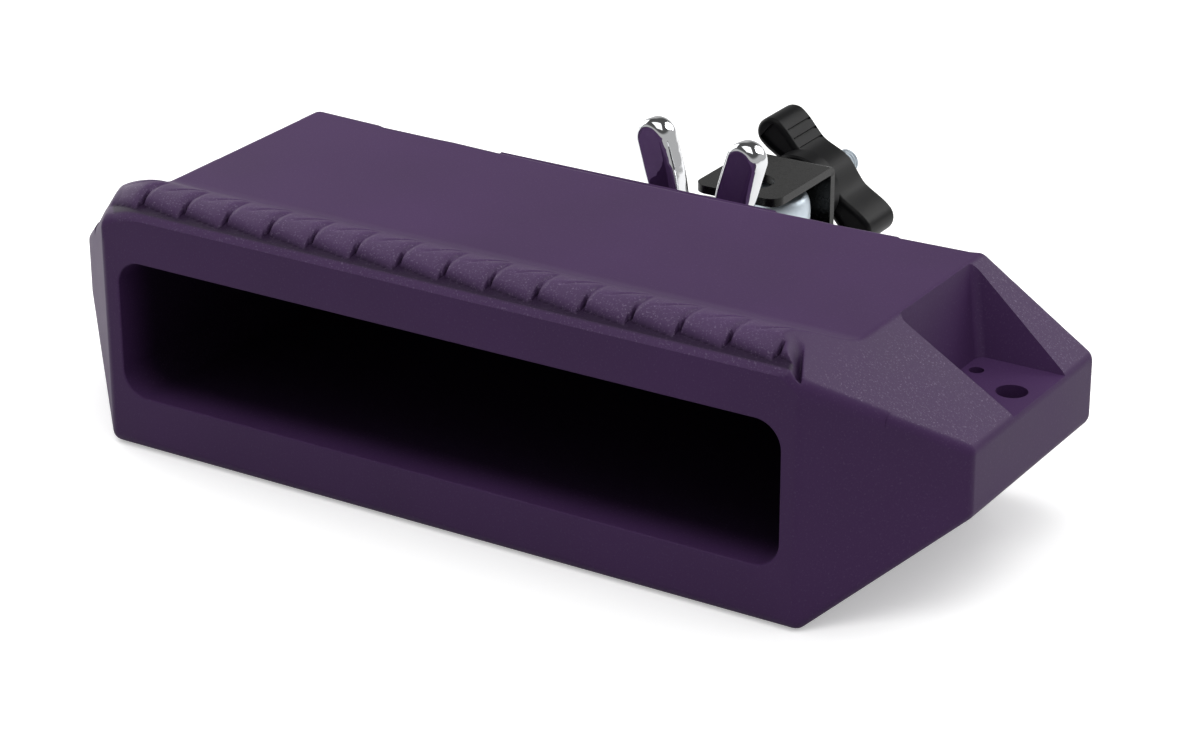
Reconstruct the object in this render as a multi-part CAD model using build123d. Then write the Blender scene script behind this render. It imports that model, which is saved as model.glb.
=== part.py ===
"""Moulded percussion block with a clamp bracket for a stand rod.

Frame: millimetres, +Z up. The origin is the centre of the flat underside of the
block. +X runs along the long striking edge, -Y is the open mouth, and the rod
clamp hangs off the back towards +Y.
"""

import os
from math import atan2, cos, sin

from build123d import *

os.makedirs("parts", exist_ok=True)

CUT_OVER = 5.0  # cutters run this far past what they cut
NEAR = 0.1  # edges this near a place are taken as lying on it

# ---------------------------------------------------------------- block
BLOCK_WIDTH = 220.0  # front face, and flat underside, along X
BLOCK_DEPTH = 104.4  # front face to the corner of the top panel, along Y
PANEL_HEIGHT = 69.2  # underside to top panel
REAR_DISH = 4.6  # the back wall is hollow in plan by this much
EDGE_FILLET = 3.5
MOUTH_SIDE_WALL = 5.0
MOUTH_FLOOR = 16.4
MOUTH_HEIGHT = 40.4
MOUTH_CORNER = 7.5
CHAMBER_DEPTH = 88.0
CHAMBER_END_RADIUS = 4.5

# reinforced striking edge: a raised rope moulding along the front of the top
ROPE_RISE = 7.6  # crest above the top panel
ROPE_CREST_BACK = 10.5  # crest behind the front face
ROPE_PITCH = 14.3
ROPE_END_MARGIN = 9.0  # at each end, at least this much is left without a groove
ROPE_FRONT_SHOULDER = 3.5  # where the front face starts to roll over, above the panel
ROPE_ROLL_BACK = 3.15  # the roll's middle, behind the front face
ROPE_ROLL_RISE = 2.95  # the roll's middle, above the shoulder
ROPE_SKIRT_BACK = 34.0  # soft flank meets the top panel here, behind the front face
ROPE_GROOVE_DEPTH = 2.4
ROPE_GROOVE_LEAN = 22.0  # degrees from front-to-back
ROPE_GROOVE_WIDTH = 7.0

# ears at both ends, each with an open pocket for a bolt
EAR_REACH = 32.7  # beyond the front face's corner, along X
EAR_CHAMFER_BACK = 32.3  # front corner cut, along Y
EAR_TIP_BOTTOM = 27.2
EAR_TIP_TOP = 46.2
EAR_POCKET_DRAFT = 7.0  # the inner wall leans out from the panel's end by this much at the floor
EAR_POCKET_FRONT = (51.5, 56.0)  # behind the front face, at the top panel and at the floor
EAR_REAR_WALL = (9.4, 17.4)  # behind the pocket, at the top panel and at the floor
EAR_POCKET_CORNER = 2.5
EAR_HOLE_OUT = 24.7  # beyond the front face's corner, along X
EAR_HOLE_BACK = 70.5
EAR_HOLE_DIAMETER = 8.6
PILOT_HOLE_OUT = 10.7
PILOT_HOLE_BACK = 78.2
PILOT_HOLE_DIAMETER = 4.1
PILOT_HOLE_DEPTH = 12.0

# lug on the back, which the clamp bracket bolts to
LUG_ROOT_HALF = 46.0
LUG_TIP_HALF = 34.0
LUG_REACH = 46.5  # beyond the middle of the back wall
LUG_ROOT_OVERLAP = 3.0  # the lug is one moulding with the back wall
LUG_TIP_STEP = 0.4  # slope's lower end above the pocket floor
LUG_BOLT_INSET = 7.7  # swivel bolt from the lug's end
LUG_SEAT_DEPTH = 30.0  # flat underside, along Y
LUG_SEAT_HEIGHT = 24.9  # flat underside, above the block's underside
LUG_GUSSET_DROP = 17.0
LUG_FLOOR = 33.5
LUG_POCKET_HALF = 25.0
LUG_POCKET_DRAFT = 2.0
LUG_POCKET_CORNER = 8.0
LUG_POCKET_INSET = 12.5  # inner wall behind the middle of the back wall

# ---------------------------------------------------------------- bracket
BRACKET_WIDTH = 29.0
BRACKET_HEIGHT = 25.0
BRACKET_PLATE = 2.6
BRACKET_BEND = 3.0
BRACKET_INNER_BEND = 0.5
BRACKET_CORNER = 4.5
BRACKET_NOSE_FLAT = 1.0  # left straight between the lower plate's rounded corners
BRACKET_TOP_REACH = 36.7  # upper plate, from its free edge to the back of the web
BRACKET_SET_BACK = 56.5  # swivel bolt to the back of the web
PAD_THICKNESS = 1.0
PAD_DIAMETER = 27.0
SEAT_GAP = 0.1  # pad to the underside of the lug

# swivel bolt, washers and chrome wing nut
BOLT_DIAMETER = 7.94
BOLT_HOLE_DIAMETER = 8.1
BOLT_HEAD_DIAMETER = 18.0
BOLT_HEAD_HEIGHT = 4.2
BOLT_NECK = 7.94
BOLT_NECK_HEIGHT = 2.3
SQUARE_HOLE_CLEARANCE = 0.05
THREAD_CLEARANCE = 0.05
BOLT_PAST_NUT = 0.6
WASHER_DIAMETER = 18.0
WASHER_THICKNESS = 1.6
SPRING_WASHER_DIAMETER = 13.4
SPRING_WASHER_THICKNESS = 2.0
SPRING_WASHER_SPLIT = 1.2
SPRING_WASHER_SPLIT_SLANT = 30.0  # degrees from upright
STACK_GAP = 0.1

WING_NUT_HUB_DIAMETER = 17.0
WING_NUT_HUB_TOP_DIAMETER = 14.0
WING_NUT_HUB_HEIGHT = 12.0
WING_NUT_TURN = -7.3  # degrees, how it stands in the photograph
WING_ROOT_RADIUS = 9.2
WING_ROOT_HEIGHT = 5.4  # above the nut's base
WING_TIP_RADIUS = 16.6
WING_TIP_HEIGHT = 34.8  # top of the wings above the nut's base
WING_WIDTH = 12.0
WING_THICKNESS = 8.0
WING_BEVEL = 1.7

# ---------------------------------------------------------------- rod clamp
ROD_HOLE_DIAMETER = 13.2
ROD_HOLE_SET_BACK = 31.2  # swivel bolt to rod hole
EYE_OUTER_DIAMETER = 26.4
EYE_HOLE_DIAMETER = 13.0
EYE_HEIGHT = 11.5
EYE_ROUNDING = 4.6
EYE_HOLE_ROUNDING = 1.0
EYE_WEB_GAP = 0.2
STUD_DIAMETER = 7.94
STUD_ROOT = 1.0  # where the stud starts in the ring, outside its hole
STUD_HOLE_DIAMETER = 8.1
STUD_PAST_WEB = 36.0
THREAD_PITCH = 1.411
THREAD_DEPTH_SHARE = 0.6134  # of the pitch, for a 60 degree thread

CLAMP_WASHER_DIAMETER = 20.0
CLAMP_WASHER_THICKNESS = 1.5
INSERT_DIAMETER = 10.0
INSERT_BASE = 1.0  # insert's near face inside the nut's base
INSERT_LENGTH = 20.0
CLAMP_NUT_LENGTH = 28.6
CLAMP_NUT_BASE_DIAMETER = 24.0
CLAMP_NUT_BASE_LENGTH = 7.0
CLAMP_NUT_BASE_ROUNDING = 0.6
CLAMP_NUT_CONE_LENGTH = 6.5
CLAMP_NUT_HUB_DIAMETER = 13.0
CLAMP_NUT_HUB_EASE = 0.01  # keeps the hub just inside the wings' outline
CLAMP_NUT_TILT = 40.0  # degrees, upper wing towards -X, as in the photograph
PADDLE_REACH = 25.5
PADDLE_TIP_THICKNESS = 9.4
PADDLE_WAIST_THICKNESS = 6.8
PADDLE_WAIST_AT = 11.5
PADDLE_DEPTH = 17.5  # along the stud
PADDLE_ROUNDING = 1.6

# ---------------------------------------------------------------- worked out
thread_depth = THREAD_DEPTH_SHARE * THREAD_PITCH  # bolt and stud tips are chamfered to the thread's root
front = -BLOCK_DEPTH / 2
half_width = BLOCK_WIDTH / 2
half_span = half_width + EAR_REACH
slope = (PANEL_HEIGHT - EAR_TIP_TOP) / EAR_REACH
back_middle = BLOCK_DEPTH / 2 - REAR_DISH * (half_width / half_span) ** 2
back_end = back_middle + REAR_DISH
crest_height = PANEL_HEIGHT + ROPE_RISE
lug_end = back_middle + LUG_REACH
lug_slope = (PANEL_HEIGHT - LUG_FLOOR) / LUG_REACH
mouth_top = MOUTH_FLOOR + MOUTH_HEIGHT
mouth_half = half_width - MOUTH_SIDE_WALL

bolt_y = lug_end - LUG_BOLT_INSET
bracket_bottom = LUG_SEAT_HEIGHT - SEAT_GAP - PAD_THICKNESS - BRACKET_PLATE
bracket_top = bracket_bottom + BRACKET_HEIGHT
web_back = bolt_y + BRACKET_SET_BACK
web_front = web_back - BRACKET_PLATE
stud_z = bracket_bottom + BRACKET_HEIGHT / 2
rod_y = bolt_y + ROD_HOLE_SET_BACK
eye_y = web_front - EYE_WEB_GAP - EYE_OUTER_DIAMETER / 2
stud_end = web_back + STUD_PAST_WEB
nut_base = LUG_FLOOR + 2 * STACK_GAP + WASHER_THICKNESS + SPRING_WASHER_THICKNESS
clamp_nut_base = web_back + CLAMP_WASHER_THICKNESS + STACK_GAP

print("align travel", round(eye_y - rod_y, 3), "turns", round((eye_y - rod_y) / THREAD_PITCH, 4))
print("bolt", round(bolt_y, 2), "rod", round(rod_y, 2), "eye", round(eye_y, 2), "web", round(web_back, 2))
print("stud z", round(stud_z, 2), "bracket", round(bracket_bottom, 2), round(bracket_top, 2))


def prism(points, plane, amount, both=True):
    """Closed outline, drawn on a plane and extruded along its normal."""
    return extrude(plane * make_face(Polyline(*points, close=True)), amount, both=both)


def cylinder_z(x, y, low, high, diameter):
    """Upright cylinder between two heights."""
    return Pos(x, y, (low + high) / 2) * Cylinder(diameter / 2, high - low)


def cylinder_y(x, z, near, far, diameter):
    """Cylinder along Y between two places."""
    return Pos(x, (near + far) / 2, z) * Rot(90, 0, 0) * Cylinder(diameter / 2, far - near)


def block_outer():
    """Outer shape of the moulding, without its rope grooves, pockets and mouth."""
    shoulder = PANEL_HEIGHT + ROPE_FRONT_SHOULDER
    crest_y = front + ROPE_CREST_BACK
    skirt_y = front + ROPE_SKIRT_BACK
    side = Polyline(
        (skirt_y, PANEL_HEIGHT),
        (back_end + REAR_DISH, PANEL_HEIGHT),
        (back_end + REAR_DISH, 0),
        (front, 0),
        (front, shoulder),
    )
    roll = ThreePointArc(
        (front, shoulder),
        (front + ROPE_ROLL_BACK, shoulder + ROPE_ROLL_RISE),
        (crest_y, crest_height),
    )
    flank = Spline(
        (crest_y, crest_height),
        (skirt_y, PANEL_HEIGHT),
        tangents=((1, 0), (1, 0)),
    )
    profile = Plane.YZ * make_face(Curve() + [side, roll, flank])
    body = extrude(profile, half_span, both=True)

    over = crest_height + CUT_OVER - PANEL_HEIGHT
    ends = [
        (half_width, 0),
        (half_span, EAR_TIP_BOTTOM),
        (half_span, EAR_TIP_TOP),
        (half_width - over / slope, PANEL_HEIGHT + over),
    ]
    outline = ends + [(-x, z) for x, z in reversed(ends)]
    body &= prism(outline, Plane.XZ, 2 * BLOCK_DEPTH)

    corner = front + EAR_CHAMFER_BACK
    plan = Polyline(
        (-half_span, back_end),
        (-half_span, corner),
        (-half_width, front),
        (half_width, front),
        (half_span, corner),
        (half_span, back_end),
    )
    dish = ThreePointArc((half_span, back_end), (0, back_middle), (-half_span, back_end))
    body &= extrude(make_face(Curve() + [plan, dish]), 2 * PANEL_HEIGHT, both=True)
    return body.solids()[0]


def rope_grooves():
    """Slanting valleys that cut the striking edge into rope strands."""
    cutters = []
    each_side = int((half_width - ROPE_END_MARGIN) / ROPE_PITCH)
    for k in range(-each_side, each_side + 1):
        x = k * ROPE_PITCH
        half = ROPE_GROOVE_WIDTH / 2
        deep = crest_height - ROPE_GROOVE_DEPTH
        above = crest_height + ROPE_GROOVE_DEPTH
        wedge = prism(
            [(0, deep), (2 * half, above), (-2 * half, above)],
            Plane.XZ,
            ROPE_SKIRT_BACK,
        )
        tip = Pos(x, front + ROPE_CREST_BACK, 0) * Rot(0, 0, ROPE_GROOVE_LEAN)
        cutters.append(tip * wedge)
    return cutters


def ear_pocket(side):
    """Drafted pocket in one ear, open along the sloping top and over the ear's end."""
    wall_top = half_width
    wall_floor = half_width + EAR_POCKET_DRAFT
    floor = EAR_TIP_TOP
    rise = PANEL_HEIGHT - floor
    top_z = crest_height + CUT_OVER
    extra = (top_z - floor) / rise

    def ring(share, z):
        x_low = wall_floor + (wall_top - wall_floor) * share
        y_low = EAR_POCKET_FRONT[1] + (EAR_POCKET_FRONT[0] - EAR_POCKET_FRONT[1]) * share
        rear_wall = EAR_REAR_WALL[1] + (EAR_REAR_WALL[0] - EAR_REAR_WALL[1]) * share
        y_high = BLOCK_DEPTH - rear_wall
        x_high = half_span + EAR_REACH
        wide, deep = x_high - x_low, y_high - y_low
        middle = Pos((x_low + x_high) / 2, front + (y_low + y_high) / 2, z)
        return middle * RectangleRounded(wide, deep, EAR_POCKET_CORNER)

    cutter = loft([ring(0, floor), ring(extra, top_z)], ruled=True)
    return cutter if side > 0 else mirror(cutter, about=Plane.YZ)


def ear_holes(side):
    """Bolt hole through one ear, and the blind pilot hole beside it."""
    bolt = cylinder_z(
        side * (half_width + EAR_HOLE_OUT),
        front + EAR_HOLE_BACK,
        0,
        PANEL_HEIGHT,
        EAR_HOLE_DIAMETER,
    )
    pilot = cylinder_z(
        side * (half_width + PILOT_HOLE_OUT),
        front + PILOT_HOLE_BACK,
        EAR_TIP_TOP - PILOT_HOLE_DEPTH,
        PANEL_HEIGHT,
        PILOT_HOLE_DIAMETER,
    )
    return [bolt, pilot]


def back_lug():
    """Wedge-shaped lug on the back wall, like the ears, with a flat seat below."""
    inside = back_middle - LUG_ROOT_OVERLAP
    seat_start = lug_end - LUG_SEAT_DEPTH
    side = [
        (inside, PANEL_HEIGHT - EDGE_FILLET),
        (back_middle + EDGE_FILLET / 2, PANEL_HEIGHT - lug_slope * EDGE_FILLET / 2),
        (lug_end, LUG_FLOOR + LUG_TIP_STEP),
        (lug_end, LUG_SEAT_HEIGHT),
        (seat_start, LUG_SEAT_HEIGHT),
        (back_middle, LUG_SEAT_HEIGHT - LUG_GUSSET_DROP),
        (inside, LUG_SEAT_HEIGHT - LUG_GUSSET_DROP),
    ]
    wedge = prism(side, Plane.YZ, LUG_ROOT_HALF)
    plan = [
        (-LUG_ROOT_HALF, inside),
        (-LUG_ROOT_HALF, back_middle),
        (-LUG_TIP_HALF, lug_end),
        (LUG_TIP_HALF, lug_end),
        (LUG_ROOT_HALF, back_middle),
        (LUG_ROOT_HALF, inside),
    ]
    return wedge & prism(plan, Plane.XY, 2 * PANEL_HEIGHT)


def lug_pocket():
    """Pocket in the lug that gives the wing nut room to turn."""
    top_z = crest_height + CUT_OVER
    rise = top_z - LUG_FLOOR
    start = back_middle + LUG_POCKET_INSET
    end = lug_end + LUG_POCKET_HALF

    def ring(spread, z):
        wide = 2 * (LUG_POCKET_HALF + spread)
        deep = end - start + spread
        middle = Pos(0, (start - spread + end) / 2, z)
        return middle * RectangleRounded(wide, deep, LUG_POCKET_CORNER)

    lean = LUG_POCKET_DRAFT * rise / (PANEL_HEIGHT - LUG_FLOOR)
    return loft([ring(0, LUG_FLOOR), ring(lean, top_z)], ruled=True)


def block_body():
    """The whole moulding: resonance chamber, striking edge, ears and back lug."""
    body = block_outer()
    body = fillet(body.edges(), EDGE_FILLET)
    for cutter in rope_grooves():
        body -= cutter
    body += back_lug()
    chamber = Pos(0, front + CHAMBER_DEPTH / 2, (MOUTH_FLOOR + mouth_top) / 2) * Box(
        2 * mouth_half, CHAMBER_DEPTH, MOUTH_HEIGHT
    )
    chamber = fillet(chamber.edges().filter_by(Axis.Y), MOUTH_CORNER)
    inner_end = chamber.faces().sort_by(Axis.Y)[-1]
    chamber = fillet(inner_end.edges(), CHAMBER_END_RADIUS)
    body -= chamber
    for side in (-1, 1):
        body -= ear_pocket(side)
        for hole in ear_holes(side):
            body -= hole
    body -= lug_pocket()
    body -= cylinder_z(0, bolt_y, 0, PANEL_HEIGHT, BOLT_HOLE_DIAMETER)
    return body.solids()[0]


def bracket():
    """Bent steel channel: two plates with the rod holes, and the web between them."""
    half = BRACKET_WIDTH / 2
    top_front = web_back - BRACKET_TOP_REACH
    bottom_front = bolt_y - half
    outline = [
        (top_front, bracket_top),
        (web_back, bracket_top),
        (web_back, bracket_bottom),
        (bottom_front, bracket_bottom),
        (bottom_front, bracket_bottom + BRACKET_PLATE),
        (web_front, bracket_bottom + BRACKET_PLATE),
        (web_front, bracket_top - BRACKET_PLATE),
        (top_front, bracket_top - BRACKET_PLATE),
    ]
    channel = prism(outline, Plane.YZ, half)
    bends = channel.edges().filter_by(Axis.X)
    outer = bends.filter_by_position(Axis.Y, web_back - NEAR, web_back + NEAR)
    channel = fillet(outer, BRACKET_BEND)
    inner = channel.edges().filter_by(Axis.X)
    inner = inner.filter_by_position(Axis.Y, web_front - NEAR, web_front + NEAR)
    channel = fillet(inner, BRACKET_INNER_BEND)
    upright = channel.edges().filter_by(Axis.Z)
    top_corners = upright.filter_by_position(Axis.Y, top_front - NEAR, top_front + NEAR)
    channel = fillet(top_corners, BRACKET_CORNER)
    upright = channel.edges().filter_by(Axis.Z)
    nose = upright.filter_by_position(Axis.Y, bottom_front - NEAR, bottom_front + NEAR)
    channel = fillet(nose, half - BRACKET_NOSE_FLAT / 2)
    channel -= cylinder_z(0, rod_y, bracket_bottom - CUT_OVER, bracket_top + CUT_OVER, ROD_HOLE_DIAMETER)
    channel -= cylinder_y(0, stud_z, web_front - CUT_OVER, web_back + CUT_OVER, STUD_HOLE_DIAMETER)
    square = BOLT_NECK + 2 * SQUARE_HOLE_CLEARANCE
    channel -= Pos(0, bolt_y, bracket_bottom) * Box(square, square, 3 * BRACKET_PLATE)
    return channel.solids()[0]


def swivel_pad():
    """Fibre pad between the bracket and the lug, which the swivel turns on."""
    low = bracket_bottom + BRACKET_PLATE
    pad = cylinder_z(0, bolt_y, low, low + PAD_THICKNESS, PAD_DIAMETER)
    return pad - cylinder_z(0, bolt_y, low - CUT_OVER, low + CUT_OVER, BOLT_HOLE_DIAMETER)


def swivel_bolt():
    """Carriage bolt: low round head, square neck in the bracket, plain shank."""
    top = nut_base + WING_NUT_HUB_HEIGHT + BOLT_PAST_NUT
    crown = (BOLT_HEAD_DIAMETER**2 / 4 + BOLT_HEAD_HEIGHT**2) / (2 * BOLT_HEAD_HEIGHT)
    head = Pos(0, bolt_y, bracket_bottom - BOLT_HEAD_HEIGHT + crown) * Sphere(crown)
    head &= cylinder_z(
        0, bolt_y, bracket_bottom - 2 * BOLT_HEAD_HEIGHT, bracket_bottom, 2 * BOLT_HEAD_DIAMETER
    )
    neck = Pos(0, bolt_y, bracket_bottom + BOLT_NECK_HEIGHT / 2) * Box(
        BOLT_NECK, BOLT_NECK, BOLT_NECK_HEIGHT
    )
    shank = cylinder_z(0, bolt_y, bracket_bottom, top, BOLT_DIAMETER)
    bolt = head + neck + shank
    tip = bolt.edges().sort_by(Axis.Z)[-1]
    return chamfer(tip, thread_depth).solids()[0]


def flat_washer():
    """Flat washer on the lug's floor."""
    low = LUG_FLOOR + STACK_GAP
    high = low + WASHER_THICKNESS
    ring = cylinder_z(0, bolt_y, low, high, WASHER_DIAMETER)
    return ring - cylinder_z(0, bolt_y, low - CUT_OVER, high + CUT_OVER, BOLT_HOLE_DIAMETER)


def spring_washer():
    """Split spring washer under the wing nut."""
    low = LUG_FLOOR + STACK_GAP + WASHER_THICKNESS
    high = low + SPRING_WASHER_THICKNESS
    ring = cylinder_z(0, bolt_y, low, high, SPRING_WASHER_DIAMETER)
    ring -= cylinder_z(0, bolt_y, low - CUT_OVER, high + CUT_OVER, BOLT_HOLE_DIAMETER)
    gap = Box(SPRING_WASHER_SPLIT, SPRING_WASHER_DIAMETER, 3 * SPRING_WASHER_THICKNESS)
    place = Pos(0, bolt_y - SPRING_WASHER_DIAMETER / 2, (low + high) / 2)
    cut = place * Rot(0, SPRING_WASHER_SPLIT_SLANT, 0) * gap
    return (ring - cut).solids()[0]


def chrome_wing_nut():
    """Tall cast wing nut: coned hub and two thick bevelled wings."""
    low = nut_base
    hub = Pos(0, 0, low + WING_NUT_HUB_HEIGHT / 2) * Cone(
        WING_NUT_HUB_DIAMETER / 2, WING_NUT_HUB_TOP_DIAMETER / 2, WING_NUT_HUB_HEIGHT
    )
    root_z = low + WING_ROOT_HEIGHT
    tip_z = low + WING_TIP_HEIGHT - WING_WIDTH / 2
    half = WING_WIDTH / 2
    nut = hub
    for side in (-1, 1):
        root = (side * WING_ROOT_RADIUS, root_z)
        tip = (side * WING_TIP_RADIUS, tip_z)
        lean = atan2(tip[0] - root[0], tip[1] - root[1])
        across = (half * cos(lean), -half * sin(lean))
        along = (half * sin(lean), half * cos(lean))
        outline = Polyline(
            (tip[0] + across[0], tip[1] + across[1]),
            (root[0] + across[0], root[1] + across[1]),
            (root[0] - across[0], root[1] - across[1]),
            (tip[0] - across[0], tip[1] - across[1]),
        )
        crown = ThreePointArc(
            (tip[0] - across[0], tip[1] - across[1]),
            (tip[0] + along[0], tip[1] + along[1]),
            (tip[0] + across[0], tip[1] + across[1]),
        )
        face = Plane.XZ * make_face(Curve() + [outline, crown])
        wing = extrude(face, WING_THICKNESS / 2, both=True)
        rims = wing.faces().filter_by(Axis.Y).edges()
        nut += chamfer(rims, WING_BEVEL)
    bore = Pos(0, 0, low) * Cylinder(
        BOLT_DIAMETER / 2 + THREAD_CLEARANCE, 3 * WING_NUT_HUB_HEIGHT
    )
    nut -= bore
    nut = Pos(0, bolt_y, 0) * Rot(0, 0, WING_NUT_TURN) * nut
    return nut.solids()[0]


def eye_bolt():
    """Zinc-plated eye bolt: rounded ring for the rod and a threaded stud."""
    ring = Pos(0, eye_y, stud_z) * Cylinder(EYE_OUTER_DIAMETER / 2, EYE_HEIGHT)
    ring = fillet(ring.edges().filter_by(GeomType.CIRCLE), EYE_ROUNDING)
    stud = cylinder_y(
        0, stud_z, eye_y + EYE_HOLE_DIAMETER / 2 + STUD_ROOT, stud_end, STUD_DIAMETER
    )
    stud = chamfer(stud.edges().sort_by(Axis.Y)[-1], thread_depth)
    bolt = ring + stud
    hole = Pos(0, eye_y, stud_z) * Cylinder(EYE_HOLE_DIAMETER / 2, 2 * EYE_HEIGHT)
    bolt -= hole
    rims = bolt.edges().filter_by(GeomType.CIRCLE)
    rims = [e for e in rims if abs(e.radius - EYE_HOLE_DIAMETER / 2) < NEAR]
    return fillet(rims, EYE_HOLE_ROUNDING).solids()[0]


def clamp_washer():
    """Flat washer between the web and the plastic wing nut."""
    far = web_back + CLAMP_WASHER_THICKNESS
    ring = cylinder_y(0, stud_z, web_back, far, CLAMP_WASHER_DIAMETER)
    return ring - cylinder_y(0, stud_z, web_back - CUT_OVER, far + CUT_OVER, STUD_HOLE_DIAMETER)


def paddle_outline():
    """Outline of the plastic nut's two wings, along w, with n across."""
    tip, waist = PADDLE_TIP_THICKNESS / 2, PADDLE_WAIST_THICKNESS / 2
    hub = CLAMP_NUT_HUB_DIAMETER / 2
    corner = PADDLE_REACH - tip
    upper = Spline(
        (corner, tip),
        (PADDLE_WAIST_AT, waist),
        (0, hub),
        (-PADDLE_WAIST_AT, waist),
        (-corner, tip),
    )
    left = ThreePointArc((-corner, tip), (-PADDLE_REACH, 0), (-corner, -tip))
    lower = Spline(
        (-corner, -tip),
        (-PADDLE_WAIST_AT, -waist),
        (0, -hub),
        (PADDLE_WAIST_AT, -waist),
        (corner, -tip),
    )
    right = ThreePointArc((corner, -tip), (PADDLE_REACH, 0), (corner, tip))
    return make_face(Curve() + [upper, left, lower, right])


def clamp_nut_blank():
    """Plastic wing nut standing on its base at the origin, with its axis along +Z."""
    base = Pos(0, 0, CLAMP_NUT_BASE_LENGTH / 2) * Cylinder(
        CLAMP_NUT_BASE_DIAMETER / 2, CLAMP_NUT_BASE_LENGTH
    )
    base = fillet(base.edges().group_by(Axis.Z)[0], CLAMP_NUT_BASE_ROUNDING)
    cone = Pos(0, 0, CLAMP_NUT_BASE_LENGTH + CLAMP_NUT_CONE_LENGTH / 2) * Cone(
        CLAMP_NUT_BASE_DIAMETER / 2, CLAMP_NUT_HUB_DIAMETER / 2, CLAMP_NUT_CONE_LENGTH
    )
    hub = Pos(0, 0, CLAMP_NUT_LENGTH / 2) * Cylinder(
        CLAMP_NUT_HUB_DIAMETER / 2 - CLAMP_NUT_HUB_EASE, CLAMP_NUT_LENGTH
    )
    start = CLAMP_NUT_LENGTH - PADDLE_DEPTH
    paddles = extrude(Pos(0, 0, start) * paddle_outline(), PADDLE_DEPTH)
    paddles = fillet(paddles.faces().filter_by(Axis.Z).edges(), PADDLE_ROUNDING)
    blank = base + cone + hub + paddles
    stud_bore = Cylinder(STUD_DIAMETER / 2 + THREAD_CLEARANCE, 3 * CLAMP_NUT_LENGTH)
    socket = Pos(0, 0, INSERT_BASE + INSERT_LENGTH / 2) * Cylinder(
        INSERT_DIAMETER / 2, INSERT_LENGTH
    )
    return blank - stud_bore - socket


def on_stud(piece, along):
    """Stand a piece drawn along +Z on the stud's axis, its base at a place along Y."""
    return Pos(0, along, stud_z) * Rot(-90, 0, 0) * piece


def clamp_wing_nut():
    """Black nylon wing nut on the stud."""
    turned = Rot(0, 0, CLAMP_NUT_TILT) * clamp_nut_blank()
    return on_stud(turned, clamp_nut_base).solids()[0]


def nut_insert():
    """Threaded steel sleeve moulded into the plastic wing nut."""
    sleeve = Pos(0, 0, INSERT_BASE + INSERT_LENGTH / 2) * Cylinder(
        INSERT_DIAMETER / 2, INSERT_LENGTH
    )
    sleeve -= Cylinder(STUD_DIAMETER / 2 + THREAD_CLEARANCE, 3 * CLAMP_NUT_LENGTH)
    return on_stud(sleeve, clamp_nut_base).solids()[0]


for make in (
    block_body,
    bracket,
    swivel_pad,
    swivel_bolt,
    flat_washer,
    spring_washer,
    chrome_wing_nut,
    eye_bolt,
    clamp_washer,
    clamp_wing_nut,
    nut_insert,
):
    export_step(make(), f"parts/{make.__name__}.step")
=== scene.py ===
"""Looks of a moulded percussion block and its stand clamp, in metres.

The sections follow the object as it is put together: the studio, the block
moulding, the bracket, the swivel bolt's stack, the eye bolt and its wing nut.
"""

from math import cos, pi, radians, sin

import bmesh
import bpy
import numpy as np
from mathutils import Matrix, Vector


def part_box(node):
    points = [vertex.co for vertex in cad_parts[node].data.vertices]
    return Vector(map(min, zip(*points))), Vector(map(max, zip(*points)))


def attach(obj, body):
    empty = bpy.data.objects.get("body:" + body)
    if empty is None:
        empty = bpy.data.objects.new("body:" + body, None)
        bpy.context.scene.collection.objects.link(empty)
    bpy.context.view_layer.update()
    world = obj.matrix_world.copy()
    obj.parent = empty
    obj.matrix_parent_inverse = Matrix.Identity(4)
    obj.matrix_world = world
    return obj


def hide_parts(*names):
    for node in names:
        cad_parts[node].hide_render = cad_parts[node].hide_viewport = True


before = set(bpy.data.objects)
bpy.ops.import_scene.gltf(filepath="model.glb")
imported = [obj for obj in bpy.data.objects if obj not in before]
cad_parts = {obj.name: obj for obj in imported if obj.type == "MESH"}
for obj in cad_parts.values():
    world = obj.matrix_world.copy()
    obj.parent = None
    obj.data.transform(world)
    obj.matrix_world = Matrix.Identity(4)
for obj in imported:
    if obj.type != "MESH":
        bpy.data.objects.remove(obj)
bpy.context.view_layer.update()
MM = 0.001


# ------------------------------------------------------------------ studio
# A pale floor that runs out of the picture, one broad lamp overhead, and a lamp
# behind each end of the block, so the side towards the camera is in soft shade.
CAMERA_AZIMUTH = radians(32.091)
CAMERA_ELEVATION = radians(23.486)
CAMERA_ROLL = radians(-0.148)
CAMERA_DISTANCE = 1.005068
CAMERA_TARGET = Vector((-0.009976, 0.042104, 0.011406))
CAMERA_SENSOR = 36.0
CAMERA_LENS = 104.06
CAMERA_SHIFT = (0.00903, -0.00412)
LAMPS = {  # place, the point it faces, width, power
    "lamp_above": ((0.1, -0.1, 1.3), (0.0, 0.03, 0.0), 1.2, 7.1),
    "lamp_right_rear": ((0.55, 1.15, 0.75), (0.0, 0.05, 0.04), 0.7, 6.0),
    "lamp_left_rear": ((-1.1, 0.35, 0.45), (0.0, 0.0, 0.04), 0.8, 6.0),
}
FLOOR_HALF = 6.0
FLOOR_SEEN = "#F4F4F4"
FLOOR_BOUNCE = "#A3A0A6"  # what the floor throws back on the object
FLOOR_LIFT = 0.36  # added where the floor is seen, so that it reads as white paper
FLOOR_MIRROR_LIFT = 0.12  # the same where shiny parts mirror it
WORLD_HORIZON = 0.22  # brightness of the room at eye level
WORLD_ZENITH = 0.80  # and overhead, reached where a direction's Z is ZENITH_FROM
ZENITH_FROM = 0.9
MIRROR_LOW = 0.55  # what shiny surfaces see: pale walls under a dark ceiling
MIRROR_HIGH = 0.10
MIRROR_TURN = (0.30, 0.55)  # a direction's Z where the walls end and the ceiling starts


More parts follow.
